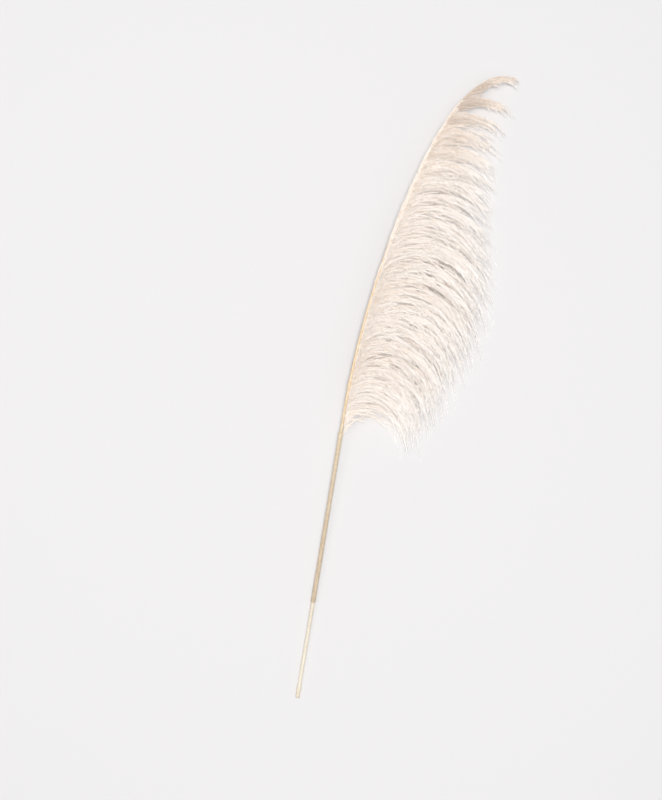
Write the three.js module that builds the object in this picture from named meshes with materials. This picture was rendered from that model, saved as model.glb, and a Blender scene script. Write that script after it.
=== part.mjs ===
// A cut, dried stem of pampas grass that lies on a level surface, in millimetres, +Z up.
// The straight culm runs along +Y from its cut end and carries on as the rachis, the axis of the
// plume, which nods towards +X. Feathery branches leave the rachis, arch over towards +X and droop.
// They rest on the surface in three layers. Each one is a plain spindle here: the outer shape of
// a soft tuft of branchlets and hairs.
import {
  Box3,
  CatmullRomCurve3,
  Group,
  LatheGeometry,
  MathUtils,
  Mesh,
  MeshStandardMaterial,
  Vector2,
  Vector3,
} from "three";

const { clamp, degToRad, lerp, smoothstep } = MathUtils;

// Culm and rachis: lengths along the stem, and radii
const CULM_LENGTH = 470;
const PLUME_LENGTH = 670;
const CUT_END_RADIUS = 3.3;
const NECK_RADIUS = 2.5;
const TIP_RADIUS = 0.6;
const NECK_HEIGHT = 30;
const TIP_HEIGHT = 15;

// How the rachis nods: an even bend over its length, and a curl that gathers at its tip
const NOD_DEGREES = 24;
const CURL_DEGREES = 77;
const CURL_POWER = 11;

// Swellings: the node above the cut end, and the knot where the plume's lowest branches leave
const SWELLING_HALF_LENGTH = 9;
const NODE_FROM_CUT_END = 14;
const NODE_SWELLING = 0.7;
const KNOT_FROM_NECK = 58;
const KNOT_SWELLING = 0.9;

// Leaf sheath: it leaves the culm bare at the cut end and stops short of the plume
const BARE_LENGTH = 162;
const SHEATH_TO_PLUME = 22;
const SHEATH_WALL = 0.9;
const SHEATH_MOUTH_FLARE = 0.5;
const SHEATH_MOUTH_FROM = 0.9; // the share of its length at which the mouth starts to open

// Branches
const BRANCH_COUNT = 54;
const LAYERS = 3;
const FIRST_BRANCH_FROM_NECK = 6;
const LAST_BRANCH_TO_TIP = 76;
const LONGEST_BRANCH = 226;
const SHORTEST_BRANCH = 88;
const LONGEST_FROM_NECK = 205;
const LONG_BRANCH_REACH = 230;
const BRANCH_WIDTH = 30;
const LAYER_SPACING = 27;
const TIP_LAYER_SPACING = 4;
const ROOT_SPREAD_DEGREES = 50;
const DEPARTURE_DEGREES = 32;
const TIP_DEPARTURE_DEGREES = 10;
const TIP_CLOSING_POWER = 8;
const LOWEST_DROOP_DEGREES = 163;
const HIGHEST_DROOP_DEGREES = 97;
const DROOP_EASE = 1.5;
const BULGE_POWER = 0.95;
const LANDING = 0.45; // the share of a branch's length after which its layer lies level

// Clearances
const FIT_GAP = 0.3;
const BRANCH_GAP = 3;

// Fineness of the solids
const STEM_SIDES = 10;
const STEM_RINGS = 54;
const BRANCH_SIDES = 6;
const BRANCH_RINGS = 9;
const PATH_STEPS = 96;
const NEIGHBOUR_STEPS = 32;

const UP = new Vector3(0, 0, 1);
const STEM_LENGTH = CULM_LENGTH + PLUME_LENGTH;

// A path that starts at a level point and turns as it goes. At a share t of its length, heading(t)
// is its direction in degrees, clockwise from +Y, and height(t) is its height.
function turningPath(start, length, heading, height) {
  const points = [new Vector3(start.x, start.y, height(0))];
  const stride = length / PATH_STEPS;
  for (let step = 1; step <= PATH_STEPS; step += 1) {
    const angle = degToRad(heading((step - 0.5) / PATH_STEPS));
    const last = points[step - 1];
    const x = last.x + Math.sin(angle) * stride;
    const y = last.y + Math.cos(angle) * stride;
    points.push(new Vector3(x, y, height(step / PATH_STEPS)));
  }
  return new CatmullRomCurve3(points);
}

// The level direction square to a path, on its right.
function rightOf(path, t) {
  return path.getTangentAt(t).cross(UP).normalize();
}

// Lays a solid turned about Y along a path. Its profile's heights are shares of the path's length,
// and its radii are shares of the half width and half thickness there.
function layAlong(path, profile, sides, halfWidth, halfThickness) {
  const geometry = new LatheGeometry(profile, sides);
  const corners = geometry.attributes.position;
  for (let i = 0; i < corners.count; i += 1) {
    const t = clamp(corners.getY(i), 0, 1);
    const corner = path
      .getPointAt(t)
      .addScaledVector(rightOf(path, t), corners.getX(i) * halfWidth(t))
      .addScaledVector(UP, corners.getZ(i) * halfThickness(t));
    corners.setXYZ(i, corner.x, corner.y, corner.z);
  }
  geometry.computeVertexNormals();
  return geometry;
}

// The profile of a closed, round-sectioned solid with the given shares of length as its rings.
function closedProfile(shares) {
  const rings = shares.map((share) => new Vector2(1, share));
  return [new Vector2(0, shares[0]), ...rings, new Vector2(0, shares.at(-1))];
}

// Stem: heading, height and radius at a share of its whole length

function plumeShare(t) {
  return Math.max(0, (t * STEM_LENGTH - CULM_LENGTH) / PLUME_LENGTH);
}

function stemHeading(t) {
  const u = plumeShare(t);
  return NOD_DEGREES * u + CURL_DEGREES * u ** CURL_POWER;
}

// The culm rises straight from its cut end, and the rachis leaves it at the same slope and sags.
function stemHeight(t) {
  const u = plumeShare(t);
  const slope = (NECK_HEIGHT - CUT_END_RADIUS) / CULM_LENGTH;
  if (u === 0) return CUT_END_RADIUS + slope * t * STEM_LENGTH;
  const rise = slope * PLUME_LENGTH;
  return NECK_HEIGHT + rise * u - (NECK_HEIGHT + rise - TIP_HEIGHT) * u * u;
}

// A smooth rise and fall of the radius about a place on the stem, all in millimetres
function swelling(at, place, height) {
  const away = Math.abs(at - place) / SWELLING_HALF_LENGTH;
  return away < 1 ? (height * (1 + Math.cos(Math.PI * away))) / 2 : 0;
}

function stemRadius(t) {
  const at = t * STEM_LENGTH;
  const bare =
    at < CULM_LENGTH
      ? lerp(CUT_END_RADIUS, NECK_RADIUS, at / CULM_LENGTH)
      : lerp(NECK_RADIUS, TIP_RADIUS, plumeShare(t));
  const node = swelling(at, NODE_FROM_CUT_END, NODE_SWELLING);
  return bare + node + swelling(at, CULM_LENGTH + KNOT_FROM_NECK, KNOT_SWELLING);
}

const stemPath = turningPath(new Vector3(), STEM_LENGTH, stemHeading, stemHeight);

// Rings are evenly spaced, but for the five across each swelling.
function stemRings() {
  const even = Array.from({ length: STEM_RINGS + 1 }, (_, i) => (i / STEM_RINGS) * STEM_LENGTH);
  const swollen = [NODE_FROM_CUT_END, CULM_LENGTH + KNOT_FROM_NECK].flatMap((place) =>
    [-1, -0.5, 0, 0.5, 1].map((share) => place + share * SWELLING_HALF_LENGTH),
  );
  const closest = SWELLING_HALF_LENGTH / 3;
  const clear = even.filter((at) => swollen.every((other) => Math.abs(other - at) > closest));
  return [...clear, ...swollen].sort((a, b) => a - b).map((at) => at / STEM_LENGTH);
}

function culm() {
  const profile = closedProfile(stemRings());
  return layAlong(stemPath, profile, STEM_SIDES, stemRadius, stemRadius);
}

// A thin sleeve on the culm. Its profile closes on itself: up the outside and down the inside.
function leafSheath() {
  const from = BARE_LENGTH / STEM_LENGTH;
  const to = (CULM_LENGTH - SHEATH_TO_PLUME) / STEM_LENGTH;
  const inside = (t) => stemRadius(t) + FIT_GAP;
  const flare = (t) => SHEATH_MOUTH_FLARE * smoothstep(t, lerp(from, to, SHEATH_MOUTH_FROM), to);
  const shares = [0, 0.3, 0.6, SHEATH_MOUTH_FROM, 1].map((share) => lerp(from, to, share));
  const outer = shares.map((t) => new Vector2(inside(t) + flare(t) + SHEATH_WALL, t));
  const inner = shares.map((t) => new Vector2(inside(t) + flare(t), t)).reverse();
  const radius = () => 1;
  return layAlong(stemPath, [...outer, ...inner, outer[0]], STEM_SIDES, radius, radius);
}

// Branches: each is told by its number, from the neck to the tip

function branchFromNeck(number) {
  const last = PLUME_LENGTH - LAST_BRANCH_TO_TIP;
  return lerp(FIRST_BRANCH_FROM_NECK, last, number / (BRANCH_COUNT - 1));
}

function branchLength(number) {
  const away = (branchFromNeck(number) - LONGEST_FROM_NECK) / LONG_BRANCH_REACH;
  return SHORTEST_BRANCH + (LONGEST_BRANCH - SHORTEST_BRANCH) * Math.exp(-away * away);
}

// It leaves the rachis at a slant and turns over towards its droop, fast at first.
function branchHeading(number, t) {
  const u = branchFromNeck(number) / PLUME_LENGTH;
  const closing = (number / (BRANCH_COUNT - 1)) ** TIP_CLOSING_POWER;
  const departure = lerp(DEPARTURE_DEGREES, TIP_DEPARTURE_DEGREES, closing);
  const start = stemHeading(branchStemShare(number)) + departure;
  const end = lerp(LOWEST_DROOP_DEGREES, HIGHEST_DROOP_DEGREES, u);
  return lerp(start, Math.max(start, end), 1 - (1 - t) ** DROOP_EASE);
}

function branchStemShare(number) {
  return (CULM_LENGTH + branchFromNeck(number)) / STEM_LENGTH;
}

// A branch's root lies on the rachis's flank: above, level or below, by its layer.
function rootOffset(number) {
  const reach = stemRadius(branchStemShare(number)) + FIT_GAP;
  const angle = degToRad(ROOT_SPREAD_DEGREES * ((number % LAYERS) - (LAYERS - 1) / 2));
  const step = degToRad(ROOT_SPREAD_DEGREES);
  return { across: reach * Math.cos(angle), spacing: reach * Math.sin(step) };
}

// The distance between one layer's middle and the next, which swells and thins along a branch.
function layerSpacing(number, t) {
  const ends = lerp(rootOffset(number).spacing, TIP_LAYER_SPACING, t);
  const widest = (LAYER_SPACING * branchLength(number)) / LONGEST_BRANCH;
  return lerp(ends, widest, Math.sin(Math.PI * t ** BULGE_POWER));
}

function fullHalfThickness(number, t) {
  return (layerSpacing(number, t) - BRANCH_GAP) / 2;
}

// The lowest layer comes down from the rachis to rest on the surface, and the others on it.
function branchHeight(number, t) {
  const root = stemHeight(branchStemShare(number)) - layerSpacing(number, 0);
  const lowest = lerp(root, fullHalfThickness(number, t), smoothstep(t, 0, LANDING));
  return lowest + (number % LAYERS) * layerSpacing(number, t);
}

function branchPath(number) {
  const share = branchStemShare(number);
  const across = rootOffset(number).across;
  const start = stemPath.getPointAt(share).addScaledVector(rightOf(stemPath, share), across);
  const heading = (t) => branchHeading(number, t);
  const height = (t) => branchHeight(number, t);
  return turningPath(start, branchLength(number), heading, height);
}

const branchPaths = Array.from({ length: BRANCH_COUNT }, (_, number) => branchPath(number));

const branchPoints = branchPaths.map((path) => path.getSpacedPoints(NEIGHBOUR_STEPS));
const rachisPoints = stemPath.getSpacedPoints(4 * NEIGHBOUR_STEPS);

function levelDistance(point, other) {
  return Math.hypot(point.x - other.x, point.y - other.y);
}

function nearest(point, others) {
  return Math.min(...others.map((other) => levelDistance(point, other)));
}

// The numbers of the branches that are some steps before and after this one.
function neighbours(number, steps) {
  const both = steps.flatMap((step) => [number - step, number + step]);
  return both.filter((n) => n >= 0 && n < BRANCH_COUNT);
}

// Half the width of a branch, held back by the branches beside it in its layer and by the rachis.
function branchHalfWidth(number, t) {
  const here = branchPaths[number].getPointAt(t);
  const beside = neighbours(number, [LAYERS]).map((n) => nearest(here, branchPoints[n]));
  const room = beside.map((distance) => (distance - BRANCH_GAP) / 2);
  const fromRachis = nearest(here, rachisPoints) - NECK_RADIUS - FIT_GAP;
  const full = (BRANCH_WIDTH / 2) * Math.sin(Math.PI * t ** BULGE_POWER);
  return Math.max(TIP_RADIUS, Math.min(full, fromRachis, ...room));
}

// Half its thickness, held back by the branches of the other layers, which pass over or under it at
// a slant. The lowest layer isn't held back where it has landed, so that it rests on the surface.
function branchHalfThickness(number, t) {
  const full = fullHalfThickness(number, t);
  if (number % LAYERS === 0 && t > LANDING) return Math.max(TIP_RADIUS, full);
  const here = branchPaths[number].getPointAt(t);
  const steps = [1, 2, LAYERS + 1, LAYERS + 2];
  const crossing = neighbours(number, steps)
    .flatMap((n) => branchPoints[n])
    .filter((point) => levelDistance(here, point) < BRANCH_WIDTH / 2);
  const room = crossing.map((point) => (Math.abs(point.z - here.z) - BRANCH_GAP) / 2);
  return Math.max(TIP_RADIUS, Math.min(full, ...room));
}

function branch(number) {
  const shares = Array.from({ length: BRANCH_RINGS }, (_, ring) => (ring + 1) / (BRANCH_RINGS + 1));
  const rings = shares.map((share) => new Vector2(1, share));
  const halfWidth = (t) => branchHalfWidth(number, t);
  const halfThickness = (t) => branchHalfThickness(number, t);
  const profile = [new Vector2(0, 0), ...rings, new Vector2(0, 1)];
  return layAlong(branchPaths[number], profile, BRANCH_SIDES, halfWidth, halfThickness);
}

// Materials
const cane = new MeshStandardMaterial({ color: 0xd9c7a3, roughness: 0.6, metalness: 0 });
const driedLeaf = new MeshStandardMaterial({ color: 0xcdb794, roughness: 0.7, metalness: 0 });
const fluff = new MeshStandardMaterial({ color: 0xeee3d6, roughness: 0.95, metalness: 0 });

function named(name, geometry, material) {
  const mesh = new Mesh(geometry, material);
  mesh.name = name;
  return mesh;
}

const stem = new Group();
stem.add(named("culm", culm(), cane));
stem.add(named("leaf_sheath", leafSheath(), driedLeaf));
branchPaths.forEach((_, number) => {
  const name = `plume_branch_${String(number + 1).padStart(2, "0")}`;
  stem.add(named(name, branch(number), fluff));
});

// The origin is under the middle of the stem, on the surface that it lies on.
const box = new Box3().setFromObject(stem);
const middle = box.getCenter(new Vector3());
stem.position.set(-middle.x, -middle.y, -box.min.z);

const pampasGrassStem = new Group();
pampasGrassStem.add(stem);

export default pampasGrassStem;
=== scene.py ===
# A cut, dried stem of pampas grass on a pale floor, seen from above.
#
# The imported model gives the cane, the leaf sheath and one closed spindle for each branch of the
# plume. Each spindle is read as a path with a half thickness, and a feathery branch grows along
# it: several arching sprays, each with a stalk, locks that fan out from it, and spikelets and
# silky hairs on the locks.

import math

import bpy
import numpy as np
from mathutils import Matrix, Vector


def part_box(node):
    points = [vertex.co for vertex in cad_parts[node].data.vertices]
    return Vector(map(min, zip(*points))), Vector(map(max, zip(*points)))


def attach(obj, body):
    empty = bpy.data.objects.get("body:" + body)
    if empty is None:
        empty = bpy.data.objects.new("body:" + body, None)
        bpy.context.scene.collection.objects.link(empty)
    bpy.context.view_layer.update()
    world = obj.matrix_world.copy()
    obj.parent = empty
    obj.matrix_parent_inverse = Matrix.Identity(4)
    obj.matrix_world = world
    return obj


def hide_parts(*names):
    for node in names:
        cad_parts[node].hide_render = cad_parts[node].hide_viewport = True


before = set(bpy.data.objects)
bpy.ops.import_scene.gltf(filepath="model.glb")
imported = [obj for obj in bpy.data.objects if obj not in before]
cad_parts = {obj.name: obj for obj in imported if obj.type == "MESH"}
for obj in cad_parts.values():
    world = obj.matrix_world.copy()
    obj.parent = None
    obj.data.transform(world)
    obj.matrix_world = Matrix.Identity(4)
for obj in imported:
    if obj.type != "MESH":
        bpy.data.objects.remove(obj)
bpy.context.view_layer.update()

MM = 0.001
TAU = 2 * math.pi
UP = np.array([0.0, 0.0, 1.0])
NEARLY_UP = UP + 1e-3  # a strand that points straight up still has a side
DOWNHILL = np.array([0.25, -0.97, 0.0])  # the way that the plume hung while it dried
SEED = 871

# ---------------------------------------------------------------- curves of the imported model


class Spline:
    """A natural cubic spline through rows of values, which goes on straight past its ends."""

    def __init__(self, places, values):
        self.places = np.asarray(places, float)
        self.values = np.asarray(values, float).reshape(len(self.places), -1)
        step = np.diff(self.places)
        slope = np.diff(self.values, axis=0) / step[:, None]
        n = len(self.places)
        matrix = np.eye(n)
        right = np.zeros_like(self.values)
        for i in range(1, n - 1):
            matrix[i, i - 1 : i + 2] = step[i - 1], 2 * (step[i - 1] + step[i]), step[i]
            right[i] = 6 * (slope[i] - slope[i - 1])
        self.bend = np.linalg.solve(matrix, right)

    def _around(self, places):
        places = np.asarray(places, float)
        inside = np.clip(places, self.places[0], self.places[-1])
        i = np.clip(np.searchsorted(self.places, inside) - 1, 0, len(self.places) - 2)
        step = (self.places[i + 1] - self.places[i])[..., None]
        a = (self.places[i + 1] - inside)[..., None] / step
        return i, step, a, 1 - a, (places - inside)[..., None]

    def slope(self, places):
        i, step, a, b, _ = self._around(places)
        bends = (3 * b * b - 1) * self.bend[i + 1] - (3 * a * a - 1) * self.bend[i]
        return (self.values[i + 1] - self.values[i]) / step + step / 6 * bends

    def __call__(self, places):
        i, step, a, b, past = self._around(places)
        bends = (a**3 - a) * self.bend[i] + (b**3 - b) * self.bend[i + 1]
        level = a * self.values[i] + b * self.values[i + 1] + bends * step**2 / 6
        return level + past * self.slope(places)


def unit(vectors):
    length = np.linalg.norm(vectors, axis=-1, keepdims=True)
    return vectors / np.maximum(length, 1e-12)


def right_of(tangents):
    """The level direction square to each tangent, on its right."""
    return unit(np.cross(tangents, UP))


def smoothstep(x, low, high):
    s = np.clip((x - low) / (high - low), 0, 1)
    return s * s * (3 - 2 * s)


def rings_of(node, is_start):
    """The rings of a swept CAD solid, each one edge further from the point at its start.

    is_start gives each corner a number, which is lowest at the point where the solid starts.
    """
    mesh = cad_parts[node].data
    corners = np.array([v.co for v in mesh.vertices])
    points, which = np.unique(np.round(corners, 6), axis=0, return_inverse=True)
    edges = which.reshape(-1)[np.array([e.vertices for e in mesh.edges])]
    level = np.full(len(points), -1)
    level[np.argmin(is_start(points))] = 0
    while (level < 0).any():
        here = level.max()
        for a, b in (edges.T, edges.T[::-1]):
            level[b[(level[a] == here) & (level[b] < 0)]] = here + 1
    return [points[level == k] for k in range(level.max() + 1)]


def from_cut_face(points):
    """How far each corner is from the middle of the culm's cut face, its lowest Y."""
    face = points[points[:, 1] < points[:, 1].min() + 0.01 * MM]
    middle = (face.min(0) + face.max(0)) / 2
    return np.linalg.norm(points - middle, axis=1)


class Stem:
    """The culm and rachis: a path and a radius by the distance from the cut end, in metres."""

    def __init__(self):
        rings = rings_of("culm", from_cut_face)[1:-1]
        centres = np.array([(ring.min(0) + ring.max(0)) / 2 for ring in rings])
        radii = [np.linalg.norm(r - c, axis=1).mean() for r, c in zip(rings, centres)]
        along = np.r_[0, np.cumsum(np.linalg.norm(np.diff(centres, axis=0), axis=1))]
        self.length = along[-1]
        self.path = Spline(along, centres)
        self.radius = Spline(along, radii)
        self.samples = self.path(np.linspace(0, self.length, 1200))

    def tangent(self, at):
        return unit(self.path.slope(at))

    def nearest(self, point):
        """The distance along the stem of the place nearest a point."""
        gaps = np.linalg.norm(self.samples - point, axis=1)
        return self.length * np.argmin(gaps) / (len(self.samples) - 1)

    def distance(self, points):
        gaps = points[:, None, :] - self.samples[None, :, :]
        return np.linalg.norm(gaps, axis=2).min(axis=1)


class Branch:
    """A branch of the plume: its path and half thickness, by the share t of its length."""

    def __init__(self, node, stem):
        rings = rings_of(node, stem.distance)
        shares = np.linspace(0, 1, len(rings))
        centres = np.array([(ring.min(0) + ring.max(0)) / 2 for ring in rings])
        self.path = Spline(shares, centres)
        self.half_thickness = Spline(shares, [np.ptp(ring[:, 2]) / 2 for ring in rings])


# ---------------------------------------------------------------- meshes

TONES = 24  # strands share this many strips of one map, from the palest to the darkest
STRIP_HALF_WIDTH = 0.4  # a strand's half width on the map, in strips
MAP_MARGIN = 0.02  # how far a strand's ends stay from the map's edges
LYING_HEIGHT = 0.6 * MM  # strands that would sink into the surface lie at about this height
LYING_SPREAD = 0.02  # and a little above each other


def add_to_scene(name, data):
    """A new object in the scene."""
    item = bpy.data.objects.new(name, data)
    bpy.context.scene.collection.objects.link(item)
    return item


def add_mesh(name, points, triangles, maps, material):
    """A piece made of triangles, with its UV maps given corner by corner."""
    mesh = bpy.data.meshes.new(name)
    mesh.vertices.add(len(points))
    mesh.vertices.foreach_set("co", points.astype(np.float32).ravel())
    mesh.loops.add(triangles.size)
    mesh.loops.foreach_set("vertex_index", triangles.astype(np.int32).ravel())
    mesh.polygons.add(len(triangles))
    mesh.polygons.foreach_set("loop_start", np.arange(0, triangles.size, 3, dtype=np.int32))
    mesh.polygons.foreach_set("use_smooth", np.ones(len(triangles), bool))
    mesh.update(calc_edges=True)
    for map_name, corners in maps.items():
        layer = mesh.uv_layers.new(name=map_name)
        layer.data.foreach_set("uv", corners.astype(np.float32).ravel())
    mesh.materials.append(material)
    mesh.validate()
    piece = add_to_scene(name, mesh)
    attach(piece, "root")
    return piece


def strand_triangles(rings, sides):
    """The triangles of a strand: a point, some rings of corners, and a point.

    A strand of two sides is a flat blade; one of more sides is round and closed.
    """
    last = sides * (rings - 1) + 1
    triangles = []
    for side in range(sides if sides > 2 else 1):
        after = (side + 1) % sides
        triangles.append([0, 1 + after, 1 + side])
        triangles.append([last + side, last + after, last + sides])
        for ring in range(1, last, sides):
            a, b = ring + side, ring + after
            triangles += [[a, b, b + sides], [a, b + sides, a + sides]]
    return np.array(triangles)


class Strands:
    """Pointed strands, gathered in batches and made into one piece."""

    def __init__(self):
        self.batches = []

    def lay(self, lines, radii, warmth, turn, shares, sides=2):
        """Strands along lines of points: (n, rings + 2, 3), with radii (n, rings) of the rings."""
        n, rings = radii.shape
        run = unit(lines[:, 2:] - lines[:, :-2])
        side = unit(np.cross(run, NEARLY_UP))
        other = np.cross(run, side)
        angles = turn[:, None] + np.arange(sides) * TAU / sides
        out = side[:, :, None] * np.cos(angles)[:, None, :, None]
        out = out + other[:, :, None] * np.sin(angles)[:, None, :, None]
        corners = lines[:, 1:-1, None] + out * radii[..., None, None]
        points = [lines[:, :1], corners.reshape(n, sides * rings, 3), lines[:, -1:]]
        across = np.r_[0, np.tile(np.linspace(-1, 1, sides), rings), 0]
        v = np.r_[shares[0], np.repeat(shares[1:-1], sides), shares[-1]]
        column = np.floor(np.clip(warmth, 0, 0.999) * TONES) + 0.5
        u = (column[:, None] + STRIP_HALF_WIDTH * across) / TONES
        v = np.broadcast_to(MAP_MARGIN + (1 - 2 * MAP_MARGIN) * v, u.shape)
        uv = np.stack([u, v], axis=-1)
        pattern = strand_triangles(rings, sides)
        self.batches.append((np.concatenate(points, axis=1), uv, pattern))

    def add(self, root, direction, length, radius, bend, warmth, turn, shares, sizes):
        """Short strands. root, direction and bend are (n, 3), and the rest (n).

        bend is how far the tip ends from where a straight strand's would, in lengths. shares are
        the places of the points along a strand, and sizes the radii of its rings.
        """
        s = np.asarray(shares)[None, :, None]
        reach = length[:, None, None]
        lines = root[:, None] + reach * (direction[:, None] * s + bend[:, None] * s**2)
        self.lay(lines, radius[:, None] * np.asarray(sizes)[None], warmth, turn, shares)

    def make(self, name, material):
        """One piece of all the strands laid so far."""
        points, uvs, triangles = [], [], []
        first = 0
        for batch, uv, pattern in self.batches:
            n, corners = batch.shape[:2]
            starts = first + corners * np.arange(n)
            triangles.append((pattern[None] + starts[:, None, None]).reshape(-1, 3))
            points.append(batch.reshape(-1, 3))
            uvs.append(uv.reshape(-1, 2))
            first += n * corners
        points, uvs, triangles = map(np.concatenate, (points, uvs, triangles))
        low = points[:, 2] < LYING_HEIGHT
        sunk = points[low, 2] / LYING_HEIGHT - 1
        points[low, 2] = LYING_HEIGHT * np.exp(LYING_SPREAD * sunk)
        corners = uvs[triangles.ravel()]
        maps = {"StrandMap": corners, "OFBake": corners}
        return add_mesh(name, points, triangles, maps, material)


def tube_points(centres, rights, ups, radii, sides, shape=None):
    """Rings of corners round a path; shape multiplies each corner's radius."""
    angles = np.arange(sides) * TAU / sides
    out = (
        rights[:, None, :] * np.cos(angles)[None, :, None]
        + ups[:, None, :] * np.sin(angles)[None, :, None]
    )
    size = radii[:, None] * (1 if shape is None else shape)
    return centres[:, None, :] + out * size[..., None]


def grid_triangles(rows, sides, first=0):
    """The triangles of a closed tube of rings."""
    row, side = np.meshgrid(np.arange(rows - 1), np.arange(sides), indexing="ij")
    a = first + row * sides + side
    b = first + row * sides + (side + 1) % sides
    c, d = a + sides, b + sides
    return np.concatenate([np.stack([a, b, d], -1), np.stack([a, d, c], -1)]).reshape(-1, 3)


# ---------------------------------------------------------------- materials


HAIR_STOPS = (0.0, 0.45, 1.0)  # where a hair's three colours lie between its root and its tip
TONE_STEPS = (0.0, 0.62, 1.0)  # where each of the three tones is reached across the map
HAIR_ROUGHNESS = (0.8, 0.62)  # at the root and at the tip
STREAKS_ALONG = 4.0  # in 100 mm of stem
BLOTCHES_ROUND = 2.5
BLOTCHES_ALONG = 22.0
BLOTCH_SHARE = 0.42
FIBRE_CONTRAST = (0.34, 0.66)  # the noise at which the dark and the pale colours are reached
FIBRE_ROUGHNESS_SPREAD = (0.15, -0.1)  # in the dark streaks and in the pale ones


def new_material(name):
    """A material with its nodes, links and Principled shader."""
    material = bpy.data.materials.new(name)
    material.use_nodes = True
    nodes = material.node_tree.nodes
    return material, nodes, material.node_tree.links, nodes["Principled BSDF"]


def ramp_node(nodes, stops):
    """A colour ramp from (place, colour) stops."""
    ramp = nodes.new("ShaderNodeValToRGB")
    elements = ramp.color_ramp.elements
    while len(elements) < len(stops):
        elements.new(0.5)
    for element, (place, colour) in zip(elements, stops):
        element.position = place
        element.color = (*colour, 1)
    return ramp


def colour_socket(sockets, name):
    """A Mix node's colour socket: it has others of the same name."""
    return next(s for s in sockets if s.name == name and s.type == "RGBA")


def strand_material(name, tones):
    """Dry silky hair.

    tones are the palest, the middle and the darkest, each with its colours from root to tip.
    """
    material, nodes, links, shader = new_material(name)
    uv = nodes.new("ShaderNodeUVMap")
    uv.uv_map = "StrandMap"
    split = nodes.new("ShaderNodeSeparateXYZ")
    links.new(uv.outputs["UV"], split.inputs[0])
    colour = None
    for step, colours in enumerate(tones):
        ramp = ramp_node(nodes, list(zip(HAIR_STOPS, colours)))
        links.new(split.outputs["Y"], ramp.inputs["Fac"])
        if colour is None:
            colour = ramp.outputs["Color"]
            continue
        fade = nodes.new("ShaderNodeMapRange")
        fade.inputs["From Min"].default_value = TONE_STEPS[step - 1]
        fade.inputs["From Max"].default_value = TONE_STEPS[step]
        links.new(split.outputs["X"], fade.inputs["Value"])
        mix = nodes.new("ShaderNodeMix")
        mix.data_type = "RGBA"
        links.new(fade.outputs["Result"], mix.inputs["Factor"])
        links.new(colour, colour_socket(mix.inputs, "A"))
        links.new(ramp.outputs["Color"], colour_socket(mix.inputs, "B"))
        colour = colour_socket(mix.outputs, "Result")
    links.new(colour, shader.inputs["Base Color"])
    rough = nodes.new("ShaderNodeMapRange")
    rough.inputs["To Min"].default_value = HAIR_ROUGHNESS[0]
    rough.inputs["To Max"].default_value = HAIR_ROUGHNESS[1]
    links.new(split.outputs["Y"], rough.inputs["Value"])
    links.new(rough.outputs["Result"], shader.inputs["Roughness"])
    shader.inputs["Sheen Weight"].default_value = 0.5
    shader.inputs["Sheen Roughness"].default_value = 0.4
    shader.inputs["Sheen Tint"].default_value = (1.0, 0.95, 0.9, 1)
    shader.inputs["Specular IOR Level"].default_value = 0.3
    return material


def noise_along(nodes, links, uv, across, along, detail):
    """Noise on the map that runs along a stem, with its scale round and along it."""
    scale = nodes.new("ShaderNodeMapping")
    scale.inputs["Scale"].default_value = (across, along, 1.0)
    links.new(uv.outputs["UV"], scale.inputs["Vector"])
    noise = nodes.new("ShaderNodeTexNoise")
    noise.inputs["Scale"].default_value = 1.0
    noise.inputs["Detail"].default_value = detail
    links.new(scale.outputs["Vector"], noise.inputs["Vector"])
    return noise.outputs["Fac"]


def fibre_material(name, tints, veins, depth, roughness):
    """Dry cane or leaf, streaked along its length.

    tints are (distance from the cut end in map units, dark streak, pale streak), in order, veins
    the streaks in one turn, and depth the height of the streaks.
    """
    material, nodes, links, shader = new_material(name)
    uv = nodes.new("ShaderNodeUVMap")
    uv.uv_map = "AlongMap"
    split = nodes.new("ShaderNodeSeparateXYZ")
    links.new(uv.outputs["UV"], split.inputs[0])
    streaks = noise_along(nodes, links, uv, veins, STREAKS_ALONG, detail=6.0)
    blotches = noise_along(nodes, links, uv, BLOTCHES_ROUND, BLOTCHES_ALONG, detail=5.0)
    both = nodes.new("ShaderNodeMix")
    both.inputs["Factor"].default_value = BLOTCH_SHARE
    links.new(streaks, both.inputs["A"])
    links.new(blotches, both.inputs["B"])
    place = nodes.new("ShaderNodeMapRange")
    place.inputs["From Max"].default_value = tints[-1][0]
    links.new(split.outputs["Y"], place.inputs["Value"])
    sides = []
    for side in (1, 2):
        ramp = ramp_node(nodes, [(tint[0] / tints[-1][0], tint[side]) for tint in tints])
        links.new(place.outputs["Result"], ramp.inputs["Fac"])
        sides.append(ramp.outputs["Color"])
    contrast = nodes.new("ShaderNodeMapRange")
    contrast.inputs["From Min"].default_value = FIBRE_CONTRAST[0]
    contrast.inputs["From Max"].default_value = FIBRE_CONTRAST[1]
    links.new(both.outputs["Result"], contrast.inputs["Value"])
    mix = nodes.new("ShaderNodeMix")
    mix.data_type = "RGBA"
    links.new(contrast.outputs["Result"], mix.inputs["Factor"])
    links.new(sides[0], colour_socket(mix.inputs, "A"))
    links.new(sides[1], colour_socket(mix.inputs, "B"))
    links.new(colour_socket(mix.outputs, "Result"), shader.inputs["Base Color"])
    rough = nodes.new("ShaderNodeMapRange")
    rough.inputs["To Min"].default_value = roughness + FIBRE_ROUGHNESS_SPREAD[0]
    rough.inputs["To Max"].default_value = roughness + FIBRE_ROUGHNESS_SPREAD[1]
    links.new(contrast.outputs["Result"], rough.inputs["Value"])
    links.new(rough.outputs["Result"], shader.inputs["Roughness"])
    bump = nodes.new("ShaderNodeBump")
    bump.inputs["Strength"].default_value = 0.6
    bump.inputs["Distance"].default_value = depth
    links.new(streaks, bump.inputs["Height"])
    links.new(bump.outputs["Normal"], shader.inputs["Normal"])
    return material


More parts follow.
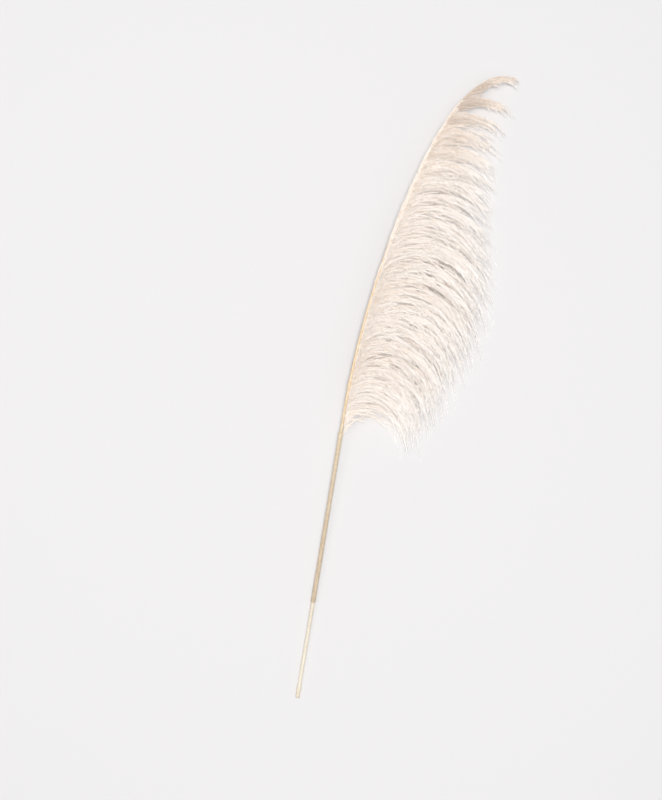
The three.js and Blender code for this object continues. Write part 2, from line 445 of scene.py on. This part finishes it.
HAIR = strand_material(
    "pampas_hair",
    (
        ((0.962, 0.915, 0.87), (0.976, 0.956, 0.94), (0.985, 0.977, 0.972)),
        ((0.87, 0.74, 0.61), (0.945, 0.882, 0.815), (0.97, 0.936, 0.9)),
        ((0.60, 0.46, 0.34), (0.76, 0.65, 0.56), (0.86, 0.78, 0.71)),
    ),
)
CANE = fibre_material(
    "dry_cane",
    (
        (0.0, (0.60, 0.50, 0.36), (0.82, 0.76, 0.63)),
        (0.25, (0.66, 0.58, 0.45), (0.86, 0.81, 0.70)),
        (1.7, (0.62, 0.53, 0.40), (0.82, 0.75, 0.62)),
        (4.4, (0.58, 0.44, 0.28), (0.78, 0.66, 0.48)),
        (5.3, (0.62, 0.44, 0.25), (0.86, 0.70, 0.49)),
        (8.5, (0.66, 0.50, 0.33), (0.88, 0.76, 0.59)),
        (11.4, (0.60, 0.46, 0.34), (0.80, 0.68, 0.56)),
    ),
    veins=26,
    depth=0.15 * MM,
    roughness=0.5,
)
LEAF = fibre_material(
    "dry_leaf",
    (
        (0.0, (0.42, 0.31, 0.20), (0.66, 0.54, 0.40)),
        (1.8, (0.44, 0.33, 0.21), (0.68, 0.56, 0.42)),
        (3.4, (0.50, 0.39, 0.26), (0.70, 0.59, 0.44)),
        (4.5, (0.56, 0.43, 0.28), (0.78, 0.67, 0.50)),
    ),
    veins=44,
    depth=0.25 * MM,
    roughness=0.65,
)

# ---------------------------------------------------------------- culm, rachis and sheath

MAP_UNIT = 100 * MM  # the length of stem that one unit of its map covers
STEM_STEP = 2 * MM
STEM_SIDES = 24
RIBS = 12
RIB_DEPTH = 0.02  # of the radius
CUT_FACE = ((0.0, 0.6), (0.5, 1.2), (0.86, 0.0))  # share of the radius, and depth in mm
SHEATH_ROWS = 140
SHEATH_CORNERS = 60
SHEATH_TURNS = 1.12  # it wraps right round the culm and over its own edge
SHEATH_OVERLAP = (0.93, 1.02)  # the turns between which the wrap climbs onto itself
SHEATH_GAP = 0.3 * MM
SHEATH_WALL = 0.55 * MM
SHEATH_FLARE = 0.5 * MM
SHEATH_FLARE_FROM = 0.88
SHEATH_EDGE_ANGLE = 0.9
SHEATH_TWIST = 0.5  # in radians from one end to the other
VEINS = 26
VEIN_HEIGHT = 0.06 * MM


def build_culm(stem):
    """The culm with its dished cut face, and the rachis that it becomes."""
    at = np.linspace(0, stem.length, int(stem.length / STEM_STEP))
    centres, tangents = stem.path(at), stem.tangent(at)
    rights = right_of(tangents)
    ups = np.cross(rights, tangents)
    radii = stem.radius(at)[:, 0]
    angles = np.arange(STEM_SIDES) * TAU / STEM_SIDES
    ribs = 1 + RIB_DEPTH * np.cos(RIBS * angles)[None, :] * np.ones((len(at), 1))
    body = tube_points(centres, rights, ups, radii * (1 - RIB_DEPTH), STEM_SIDES, ribs)
    face = []
    for share, inward in CUT_FACE:
        centre = centres[:1] + tangents[:1] * inward * MM
        face.append(tube_points(centre, rights[:1], ups[:1], radii[:1] * share, STEM_SIDES)[0])
    points = np.concatenate([np.array(face), body]).reshape(-1, 3)
    rows = len(points) // STEM_SIDES
    triangles = grid_triangles(rows, STEM_SIDES)
    turn = np.tile(np.arange(STEM_SIDES) / STEM_SIDES, rows)
    along = np.repeat(np.r_[np.zeros(len(CUT_FACE)), at / MAP_UNIT], STEM_SIDES)
    across = turn[triangles]
    at_seam = np.ptp(across, axis=1)[:, None] > 0.5
    across = np.where(at_seam, (across + 0.5) % 1 + 0.5, across)
    corners = np.stack([across.ravel(), along[triangles].ravel()], axis=1)
    piece = add_mesh("culm_and_rachis", points, triangles, {"AlongMap": corners}, CANE)
    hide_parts("culm")


def build_sheath(stem):
    """The dry leaf base: a veined sleeve that wraps the culm and overlaps itself."""
    low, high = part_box("leaf_sheath")
    places = np.linspace(0, stem.length, len(stem.samples))
    first, last = np.interp([low[1], high[1]], stem.samples[:, 1], places)
    s = np.linspace(0, 1, SHEATH_ROWS)
    at = first + (last - first) * s
    centres, tangents = stem.path(at), stem.tangent(at)
    rights = right_of(tangents)
    ups = np.cross(rights, tangents)
    wrap = np.linspace(0, SHEATH_TURNS, SHEATH_CORNERS)
    angles = TAU * wrap + SHEATH_EDGE_ANGLE + SHEATH_TWIST * s[:, None]
    flare = SHEATH_FLARE * smoothstep(s, SHEATH_FLARE_FROM, 1.0)
    inside = (stem.radius(at)[:, 0] + SHEATH_GAP + flare)[:, None]
    inside = inside + SHEATH_WALL * smoothstep(wrap, *SHEATH_OVERLAP)[None]
    outside = inside + SHEATH_WALL + VEIN_HEIGHT * np.cos(TAU * wrap * VEINS)[None]
    out = rights[:, None] * np.cos(angles)[..., None] + ups[:, None] * np.sin(angles)[..., None]
    outer = centres[:, None] + out * outside[..., None]
    inner = centres[:, None] + out * inside[..., None]
    loop = np.concatenate([outer, inner[:, ::-1]], axis=1)
    sides = loop.shape[1]
    points = loop.reshape(-1, 3)
    caps = []
    for row in (0, SHEATH_ROWS - 1):
        for j in range(SHEATH_CORNERS - 1):
            a, b = row * sides + j, row * sides + j + 1
            c, d = row * sides + sides - 1 - j, row * sides + sides - 2 - j
            caps += [[a, d, b], [a, c, d]] if row == 0 else [[a, b, d], [a, d, c]]
    triangles = np.concatenate([grid_triangles(SHEATH_ROWS, sides), np.array(caps)])
    across = np.tile(np.r_[wrap, wrap[::-1]], SHEATH_ROWS)
    along = np.repeat(at / MAP_UNIT, sides)
    corners = np.stack([across[triangles].ravel(), along[triangles].ravel()], axis=1)
    piece = add_mesh("dry_leaf_sheath", points, triangles, {"AlongMap": corners}, LEAF)
    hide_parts("leaf_sheath")


# ---------------------------------------------------------------- feathery branches

LAYERS = 3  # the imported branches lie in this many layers, by turns
ARCS = (5, 7, 7)  # the sprays of a branch in each layer, from the lowest to the one on top
ARC_POINTS = 11
ARC_SHORTFALL = 0.2  # how much shorter than its branch a spray may be at the foot of the plume
ARC_SHORTFALL_RISE = 0.22  # and how much more so higher up
ARC_SWING = 5  # degrees by which a spray strays from its branch
ARC_LIFT = (-0.35, 1.3)  # how far sprays lie above their branch, in its half thicknesses
TOP_ARC_LIFT = (-0.35, 0.55)
ARC_ROOM = (8 * MM, 6 * MM)  # how far locks stand off their spray, to its side and upwards
GATHER_RANGE = (0.44, 0.82)  # the share of the plume over which branches gather in threes
GATHER_MOST = 0.85
GATHER_AT_TIP = 0.97
GATHERED_ARCS = 2
GATHER_THINS = 0.8  # the share of its sprays that a branch loses where it gathers
GATHER_NARROWS = 0.6  # and the share of its width
TUFT_DROP = 4 * MM  # how far the last tuft hangs beside the rachis
LOCK_STEP = 20 * MM
LOCK_LENGTH = 50 * MM
LONGEST_BRANCH = 226 * MM
LOCK_SHARES = np.linspace(0, 1, 9)
LAST_LOCK = 0.78  # the share of a spray from which its last lock leaves
LOCK_HANG = (0, 8 * MM)
LOCK_FAN = math.radians(22)
LOCK_STALK = (0.45 * MM, 0.15 * MM)  # radii where it starts and where it ends
WISPS = 2
WISP_HANG = (6 * MM, 19 * MM)
WISP_FAN = math.radians(10)
WISP_STALK = (0.25 * MM, 0.12 * MM)
SHOULDER_LOCKS = 2
SHOULDER_START = (-22 * MM, 4 * MM)  # along the rachis, from where the spray leaves it
SHOULDER_REACH = (36 * MM, 66 * MM)
SHOULDER_FAN = math.radians(13)
ROOT_GAP = 0.3 * MM  # between the rachis and the root of a lock
STALK_RINGS = 26
FOOT_TONE = 0.2  # tones run from 0, the palest, to 1
TIP_TONE_RISE = 0.5
STALK_TONE_RISE = 0.35
ROOT_TONE_RISE = 0.34  # of the first lock of a spray over one that leaves its far end
WISP_TONE_DROP = 0.12
STEP_ROUND = 2.4  # radians from one strand to the next round its stalk, near the golden angle
SPIKELET_STEP = 2.0 * MM
SPIKELET_LENGTH = 11.5 * MM
SPIKELET_RADIUS = 0.38 * MM
SPIKELET_SHARES = (0.0, 0.28, 0.66, 1.0)
SPIKELET_SIZES = (1.0, 0.72)
HAIRS = 11  # with each spikelet
HAIR_LENGTH = 10.5 * MM
HAIR_RADIUS = 0.16 * MM
HAIR_SHARES = (0.0, 0.35, 1.0)
HAIR_SIZES = (1.0,)
SAG = 0.13  # how far hairs droop, in lengths
FOLLOW = 0.3  # how far they turn back along their lock, in lengths
SLEEVE_FROM = 0.3  # the share of the rachis from which short locks cover it
SLEEVE_STEP = 3.2 * MM
SLEEVE_TO_TIP = 130 * MM
SLEEVE_LOCK = 30 * MM
SLEEVE_FAN = math.radians(8)
BRUSH_LOCKS = 20
BRUSH_FROM_TIP = (6, 118)  # millimetres
BRUSH_FAN = math.radians(11)
PAST_TIP = 8 * MM


def turned_right(vectors, angle):
    """Vectors turned about Z, clockwise from above."""
    c, s = math.cos(angle), math.sin(angle)
    x, y, z = np.moveaxis(np.asarray(vectors), -1, 0)
    return np.stack([c * x + s * y, c * y - s * x, z], axis=-1)


def scatter(strands, rng, line, length, warmth, fan, size=1.0, density=1.0):
    """Spikelets and hairs along one lock, whose line is a Spline by the share of its length.

    warmth is their tone, fan the angle that they lean out by, and size and density change their
    length and number.
    """
    count = max(5, int(length * density / SPIKELET_STEP))
    tau = (np.arange(count) + rng.uniform(0, 1, count)) / count
    root = line(tau)
    along = unit(line.slope(tau))
    side = right_of(along)
    over = np.cross(side, along)
    azimuth = np.arange(count) * STEP_ROUND + rng.normal(0, 0.5, count)
    taper = (1 - 0.55 * tau**1.5) * size
    lean = fan * rng.uniform(0.5, 1.4, count) * (1 - 0.5 * tau)

    def spray(angle, tilt, reach, radius, tone, spread, shares, sizes):
        n = len(angle)
        out = side * np.cos(angle)[:, None] + over * np.sin(angle)[:, None]
        direction = unit(along * np.cos(tilt)[:, None] + out * np.sin(tilt)[:, None])
        bend = FOLLOW * (along - direction) + SAG * DOWNHILL + rng.normal(0, spread, (n, 3))
        start = root + along * (rng.uniform(-0.5, 0.5, n) * SPIKELET_STEP)[:, None]
        turn = rng.uniform(0, TAU, n)
        strands.add(start, direction, reach, radius, bend, tone, turn, shares, sizes)

    reach = SPIKELET_LENGTH * rng.uniform(0.7, 1.15, count) * taper
    radius = SPIKELET_RADIUS * rng.uniform(0.6, 1.2, count)
    tone = warmth + 0.08 + rng.normal(0, 0.06, count)
    spray(azimuth, lean, reach, radius, tone, 0.05, SPIKELET_SHARES, SPIKELET_SIZES)
    for _ in range(HAIRS):
        angle = azimuth + rng.normal(0, 1.0, count)
        tilt = lean * rng.uniform(0.4, 2.6, count)
        reach = HAIR_LENGTH * rng.uniform(0.6, 1.35, count) * taper
        radius = HAIR_RADIUS * rng.uniform(0.7, 1.3, count)
        tone = warmth - 0.04 + rng.normal(0, 0.07, count)
        spray(angle, tilt, reach, radius, tone, 0.07, HAIR_SHARES, HAIR_SIZES)


def spray_lock(arc, begin, finish, wide, tall, hang):
    """A lock that leaves a spray at one share of its length and ends beside it at another."""
    tau = LOCK_SHARES
    t = begin + (finish - begin) * tau
    out = (1 - (1 - tau) ** 1.6)[:, None]
    across = right_of(arc.path.slope(t))
    sag = DOWNHILL * hang * (tau**2)[:, None]
    return Spline(tau, arc.path(t) + out * (across * wide + UP * tall) + sag)


def bridge(start, heading, end, arrival, swing=1.1):
    """A smooth line between two points, with its directions at both ends."""
    s = LOCK_SHARES[:, None]
    reach = swing * np.linalg.norm(end - start)
    return Spline(
        LOCK_SHARES,
        start * (2 * s**3 - 3 * s**2 + 1)
        + heading * reach * (s**3 - 2 * s**2 + s)
        + end * (3 * s**2 - 2 * s**3)
        + arrival * reach * (s**3 - s**2),
    )


def line_length(line, steps):
    """The length of a line, measured at this many points."""
    return np.linalg.norm(np.diff(line(np.linspace(0, 1, steps)), axis=0), axis=1).sum()


def add_stalk(strands, line, end, radii, warmth):
    """A thin stalk along a line, up to a share of its length, with its first and last radii."""
    shares = np.r_[0, (np.arange(STALK_RINGS) + 0.15) / STALK_RINGS, 1]
    points = line(end * shares)[None]
    radii = np.linspace(*radii, STALK_RINGS)[None]
    strands.lay(points, radii, np.array([warmth]), np.zeros(1), 0.1 + 0.8 * shares, sides=6)


class Arc:
    """One of the arching sprays that make up a branch, with the room that its locks fill."""

    def __init__(self, points, wide, tall):
        self.path = Spline(np.linspace(0, 1, len(points)), points)
        self.length = line_length(self.path, 100)
        self.wide = wide
        self.tall = tall


def step_to_next(branches, number, way, t):
    """How far the next branch in the same layer lies from this one, one way or the other."""
    other = number + way * LAYERS
    if 0 <= other < len(branches):
        return branches[other].path(t) - branches[number].path(t)
    return branches[number].path(t) - branches[number - way * LAYERS].path(t)


def arcs_of(rng, stem, branches, number, up, gather):
    """The sprays of a branch: they share the room up to the next branches of its layer.

    up is the share of the plume at which it grows, and gather how far its tuft draws together.
    """
    branch = branches[number]
    layer = number % LAYERS
    count = max(GATHERED_ARCS, round(ARCS[layer] * (1 - GATHER_THINS * gather)))
    slim = 1 - GATHER_NARROWS * gather
    shift = np.arange(count) + 0.5 + rng.uniform(-0.3, 0.3, count)
    shift = (shift / count - 0.5) * slim
    shortfall = ARC_SHORTFALL + ARC_SHORTFALL_RISE * smoothstep(up, 0.2, 0.5)
    arcs = []
    for f in rng.permutation(shift):
        share = 1 - shortfall * rng.uniform() ** 1.25
        t = share * np.linspace(0, 1, ARC_POINTS)
        points = branch.path(t) + abs(f) * step_to_next(branches, number, int(np.sign(f)), t)
        swing = math.radians(rng.normal(0, ARC_SWING)) * slim
        points = points[0] + turned_right(points - points[0], swing)
        lift = rng.uniform(*(TOP_ARC_LIFT if layer == LAYERS - 1 else ARC_LIFT))
        points = points + UP * lift * branch.half_thickness(t)
        if gather > 0:
            points = gathered(points, t, stem, branches, number, gather)
        arcs.append(Arc(points, slim * ARC_ROOM[0], slim * ARC_ROOM[1]))
    return arcs


def gathered(points, t, stem, branches, number, gather):
    """Points of a high spray, drawn into the tuft that it makes with its neighbours."""
    if number >= len(branches) - LAYERS:
        at = stem.nearest(points[0])
        along = stem.path(at + (stem.length - at) * t)
        target = along + DOWNHILL * TUFT_DROP * smoothstep(t, 0, 0.3)[:, None]
    else:
        target = branches[LAYERS * (number // LAYERS) + 1].path(t)
    pull = gather * smoothstep(t, -0.1, 0.6)[:, None]
    return (1 - pull) * points + pull * target


def dress_arc(strands, rng, arc, droop, base):
    """A spray's stalk, its locks, and slim wisps that run past them."""
    add_stalk(strands, arc.path, 0.97, LOCK_STALK, base + STALK_TONE_RISE)
    scale = (arc.length / LONGEST_BRANCH) ** 0.5
    locks = max(4, int(arc.length / LOCK_STEP))
    spots = ((np.arange(locks) + rng.uniform(0, 1, locks)) / locks) ** 1.5
    kinds = [(LAST_LOCK * spot, False) for spot in spots]
    kinds += [(rng.uniform(0.3, 0.85), True) for _ in range(WISPS)]
    for k, (begin, wispy) in enumerate(kinds):
        reach = LOCK_LENGTH * scale * rng.uniform(0.7, 1.2) * (1.2 if wispy else 1)
        furthest = rng.uniform(0.97, 1.09) if wispy else rng.uniform(0.82, 1.0)
        reach = min(reach, arc.length * (furthest - begin))
        finish = begin + reach / arc.length
        angle = STEP_ROUND * k + rng.normal(0, 0.5)
        spread = rng.uniform(0.3, 1.2) * (1 - 0.55 * smoothstep(finish, 0.6, 1.0))
        wide = arc.wide * spread * math.cos(angle)
        tall = arc.tall * spread * math.sin(angle)
        hang = scale * rng.uniform(*(WISP_HANG if wispy else LOCK_HANG))
        if wispy:
            hang = hang * (1 + droop)
        line = spray_lock(arc, begin, finish, wide, tall, hang)
        warmth = base + ROOT_TONE_RISE * (0.5 - begin) + rng.normal(0, 0.06)
        if wispy:
            warmth = warmth - WISP_TONE_DROP
            add_stalk(strands, line, 0.98, WISP_STALK, warmth + 0.15)
            scatter(strands, rng, line, reach, warmth, WISP_FAN, 0.8, 0.5)
        else:
            density = 1.1 - 0.75 * smoothstep(begin, 0.1, 0.75)
            scatter(strands, rng, line, reach, warmth, LOCK_FAN, 1.0, density)


def dress_shoulder(strands, rng, stem, arc, covered, gather, base):
    """Locks that run up the rachis at a slant and then turn to join a spray.

    covered is how far round the rachis they start, from bare to hidden.
    """
    at = stem.nearest(arc.path(0.0))
    furthest, nearest = SHOULDER_START
    for _ in range(SHOULDER_LOCKS if gather < 0.5 else 1):
        start_at = at + rng.uniform(furthest * (1 - 0.7 * gather), nearest)
        finish = min(0.7, rng.uniform(*SHOULDER_REACH) / arc.length)
        tangent = stem.tangent(start_at)
        around = rng.uniform(-0.2, 0.35 + 0.6 * covered) * math.pi
        skin = stem.radius(start_at)[0] + ROOT_GAP
        out = right_of(tangent) * math.cos(around) + UP * math.sin(around)
        heading = turned_right(tangent, math.radians(rng.uniform(4, 22)))
        slope = arc.path.slope(finish)
        angle = rng.uniform(0, TAU)
        aside = right_of(slope) * math.cos(angle) * arc.wide + UP * math.sin(angle) * arc.tall
        end = arc.path(finish) + 0.8 * aside
        line = bridge(stem.path(start_at) + out * skin, heading, end, unit(slope))
        warmth = base + 0.2 + rng.normal(0, 0.06)
        scatter(strands, rng, line, line_length(line, 24), warmth, SHOULDER_FAN, 0.9)


def build_plume(stem):
    """A feathery branch in place of each spindle. Returns where the plume starts on the stem."""
    nodes = sorted(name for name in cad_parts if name.startswith("plume_branch_"))
    branches = [Branch(node, stem) for node in nodes]
    neck = stem.nearest(branches[0].path(0.0))
    for number, node in enumerate(nodes):
        rng = np.random.default_rng(SEED + number)
        up = (stem.nearest(branches[number].path(0.0)) - neck) / (stem.length - neck)
        gather = GATHER_MOST * smoothstep(up, *GATHER_RANGE) * rng.uniform(0.75, 1.0)
        if number >= len(nodes) - LAYERS:
            gather = GATHER_AT_TIP
        strands = Strands()
        base = FOOT_TONE + TIP_TONE_RISE * smoothstep(up, 0.55, 0.9) + rng.normal(0, 0.04)
        droop = 1 - smoothstep(up, 0.2, 0.55)
        covered = smoothstep(up, 0.35, 0.6)
        for arc in arcs_of(rng, stem, branches, number, up, gather):
            dress_arc(strands, rng, arc, droop, base + rng.normal(0, 0.03))
            dress_shoulder(strands, rng, stem, arc, covered, gather, base)
        piece = strands.make(f"feathery_branch_{number + 1:02d}", HAIR)
        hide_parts(node)
    return neck


def rachis_lock(stem, at, reach, around, bow):
    """A lock that lies along the rachis and stands off it by a bow at its end."""
    tau = LOCK_SHARES
    places = np.minimum(at + reach * tau, stem.length + PAST_TIP)
    right = right_of(stem.path.slope(places))
    out = right * math.cos(around) + UP * math.sin(around)
    skin = stem.radius(np.minimum(places, stem.length))
    below = DOWNHILL * 2.5 * MM * (tau**1.5)[:, None]
    return Spline(tau, stem.path(places) + out * (skin + bow * (tau**1.3)[:, None]) + below)


def build_rachis_sleeve(stem, neck):
    """Short locks pressed to the upper rachis."""
    span = stem.length - neck
    rng = np.random.default_rng(SEED + 400)
    strands = Strands()
    for at in np.arange(neck + SLEEVE_FROM * span, stem.length - SLEEVE_TO_TIP, SLEEVE_STEP):
        thick = smoothstep((at - neck) / span, SLEEVE_FROM, 0.55)
        if rng.uniform() > 0.25 + 0.75 * thick:
            continue
        around = rng.uniform(0.1, 1.15) * math.pi
        reach = rng.uniform(22, 40) * MM
        line = rachis_lock(stem, at, reach, around, (1 + 2 * thick) * MM)
        warmth = 0.5 + rng.normal(0, 0.06)
        scatter(strands, rng, line, SLEEVE_LOCK, warmth, SLEEVE_FAN, 0.7, 0.8)
    piece = strands.make("rachis_fluff", HAIR)


def build_tip_tuft(stem):
    """The brush at the tip of the rachis."""
    rng = np.random.default_rng(SEED + 500)
    strands = Strands()
    for from_tip in np.linspace(*BRUSH_FROM_TIP, BRUSH_LOCKS) * MM:
        full = smoothstep(from_tip, 0, 45 * MM) * (1 - smoothstep(from_tip, 80 * MM, 125 * MM))
        around = rng.uniform(-1, 0.6) * math.pi
        reach = min(rng.uniform(26, 42) * MM, rng.uniform(0.6, 1.0) * from_tip + 4 * MM)
        bow = (0.5 + 3 * full) * MM
        line = rachis_lock(stem, stem.length - from_tip, reach, around, bow)
        warmth = 0.78 + rng.normal(0, 0.06)
        scatter(strands, rng, line, reach, warmth, BRUSH_FAN, 0.7, 0.8)
    piece = strands.make("tip_tuft", HAIR)


# ---------------------------------------------------------------- floor, light and camera

FLOOR_HALF = 40.0
FLOOR_HEIGHT = -0.3 * MM
FLOOR_COLOUR = (0.705, 0.695, 0.697, 1)
ROOM_COLOUR = (0.97, 0.975, 0.985, 1)
ROOM_AT_HORIZON = 0.80
ROOM_OVERHEAD = 0.30
OVERHEAD_FROM = 0.7  # the height of a direction from which the room is as bright as overhead
SKY_STRENGTH = 1.6
SKY_ANGLE = 0.3
LAMPS = (  # name, place, target, size, power and colour
    ("top", (-0.05, -0.04, 3.4), (-0.05, -0.04, 0), 0.9, 27, (1, 1, 1)),
    ("key", (-1.5, 0.9, 3.5), (-0.1, 0, 0), 1.6, 18, (1, 0.99, 0.98)),
    ("fill", (0.8, -1.3, 3.6), (0, -0.2, 0), 2.4, 10, (1, 1, 1)),
)
LENS = 85.0
SENSOR = 36.0
VIEW_HEIGHT = 1.320
CAMERA_FROM_CUT_END = (-0.0249, 0.4975)
CAMERA_LEAN = math.radians(9.33)
STEM_HEIGHT = 0.03  # the height at which the view is as tall as VIEW_HEIGHT


def build_floor():
    """A plain pale surface for the stem to lie on."""
    mesh = bpy.data.meshes.new("floor")
    far, z = FLOOR_HALF, FLOOR_HEIGHT
    corners = [(-far, -far, z), (far, -far, z), (far, far, z), (-far, far, z)]
    mesh.from_pydata(corners, [], [(0, 1, 2, 3)])
    material, _, _, shader = new_material("pale_floor")
    shader.inputs["Base Color"].default_value = FLOOR_COLOUR
    shader.inputs["Roughness"].default_value = 0.9
    mesh.materials.append(material)
    floor = add_to_scene("floor", mesh)


def light_room():
    """A soft room, which is brighter towards the horizon."""
    world = bpy.data.worlds.new("soft_room")
    world.use_nodes = True
    nodes, links = world.node_tree.nodes, world.node_tree.links
    nodes["Background"].inputs["Color"].default_value = ROOM_COLOUR
    direction = nodes.new("ShaderNodeTexCoord")
    split = nodes.new("ShaderNodeSeparateXYZ")
    links.new(direction.outputs["Generated"], split.inputs[0])
    fade = nodes.new("ShaderNodeMapRange")
    fade.inputs["From Max"].default_value = OVERHEAD_FROM
    fade.inputs["To Min"].default_value = ROOM_AT_HORIZON
    fade.inputs["To Max"].default_value = ROOM_OVERHEAD
    links.new(split.outputs["Z"], fade.inputs["Value"])
    links.new(fade.outputs["Result"], nodes["Background"].inputs["Strength"])
    bpy.context.scene.world = world


def add_lights():
    """A broad light from straight above, and three soft lamps."""
    sky = bpy.data.lights.new("sky", "SUN")
    sky.energy = SKY_STRENGTH
    sky.angle = SKY_ANGLE
    add_to_scene("sky", sky)
    for name, place, target, size, power, colour in LAMPS:
        light = bpy.data.lights.new(name, "AREA")
        light.shape = "DISK"
        light.size = size
        light.energy = power
        light.color = colour
        lamp = add_to_scene(name, light)
        lamp.location = place
        aim = Vector(target) - Vector(place)
        lamp.rotation_euler = aim.to_track_quat("-Z", "Y").to_euler()


def add_camera(stem):
    """A camera that looks straight down, turned so that the stem leans in its view."""
    camera = bpy.data.cameras.new("camera")
    camera.lens = LENS
    camera.sensor_width = SENSOR
    tripod = add_to_scene("camera", camera)
    cut_end = stem.path(0.0)
    tripod.location = (
        cut_end[0] + CAMERA_FROM_CUT_END[0],
        cut_end[1] + CAMERA_FROM_CUT_END[1],
        VIEW_HEIGHT * LENS / SENSOR + STEM_HEIGHT,
    )
    tripod.rotation_euler = (0, 0, CAMERA_LEAN)
    bpy.context.scene.camera = tripod


def set_look():
    """Plain colours, and enough bounces for light to reach deep into the plume."""
    scene = bpy.context.scene
    scene.view_settings.view_transform = "Standard"
    scene.cycles.max_bounces = 16
    scene.cycles.diffuse_bounces = 14


stem = Stem()
build_culm(stem)
build_sheath(stem)
neck = build_plume(stem)
build_rachis_sleeve(stem, neck)
build_tip_tuft(stem)
build_floor()
light_room()
add_lights()
add_camera(stem)
set_look()
